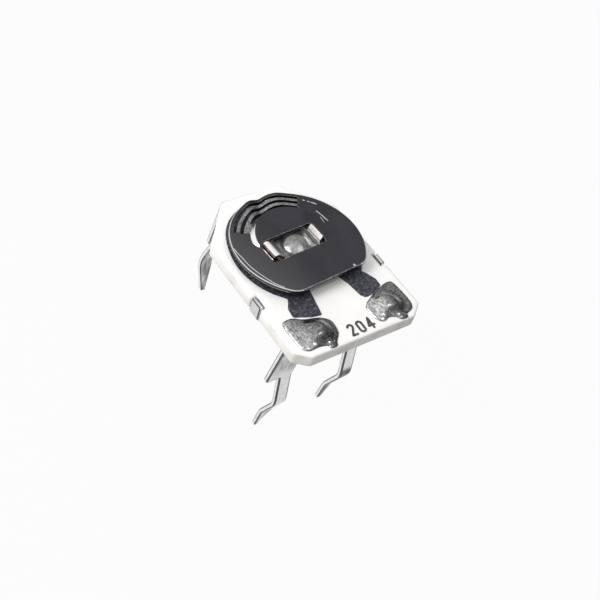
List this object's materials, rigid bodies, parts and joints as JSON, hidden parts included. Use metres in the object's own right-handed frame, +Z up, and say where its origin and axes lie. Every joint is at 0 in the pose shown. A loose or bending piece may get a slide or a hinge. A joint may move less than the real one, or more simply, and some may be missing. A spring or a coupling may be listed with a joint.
{
  "type": "trimmer potentiometer",
  "caption": "Open single-turn trimmer potentiometer: notched ceramic plate, printed track, spring disc wiper on a rivet, kinked through-hole terminals.",
  "frame": {"origin": "on the rotor axis, at the top face of the ceramic plate", "axes": "+Z up along the rotor axis; -Y towards the edge with the two end terminals; +X right"},
  "size_m": [0.009, 0.0146, 0.0125],
  "materials": {
    "ceramic": "matte alumina",
    "track": "matt printed film",
    "silver_film": "tinned silver film",
    "solder": "frozen solder",
    "tinned_strip": "bright tin",
    "ink": "printed ink",
    "rivet": "dull tin",
    "clip": "plated bronze",
    "disc": "polished"
  },
  "bodies": {
    "base": {"ceramic_base": "ceramic", "resistive_track": "track", "electrode_left": "silver_film", "electrode_right": "silver_film", "solder_left": "solder", "solder_right": "solder", "end_terminal_left": "tinned_strip", "end_terminal_right": "tinned_strip", "wiper_terminal": "tinned_strip", "value_marking": "ink"},
    "rotor": {"hub_rivet": "rivet", "wiper_clip": "clip", "wiper_disc": "disc"}
  },
  "joints": [
    {"name": "wiper_turn", "type": "hinge", "parent": "base", "child": "rotor", "pos_m": [0, 0, 0], "axis": [0, 0, 1], "range_deg": [-124, 116]}
  ]
}
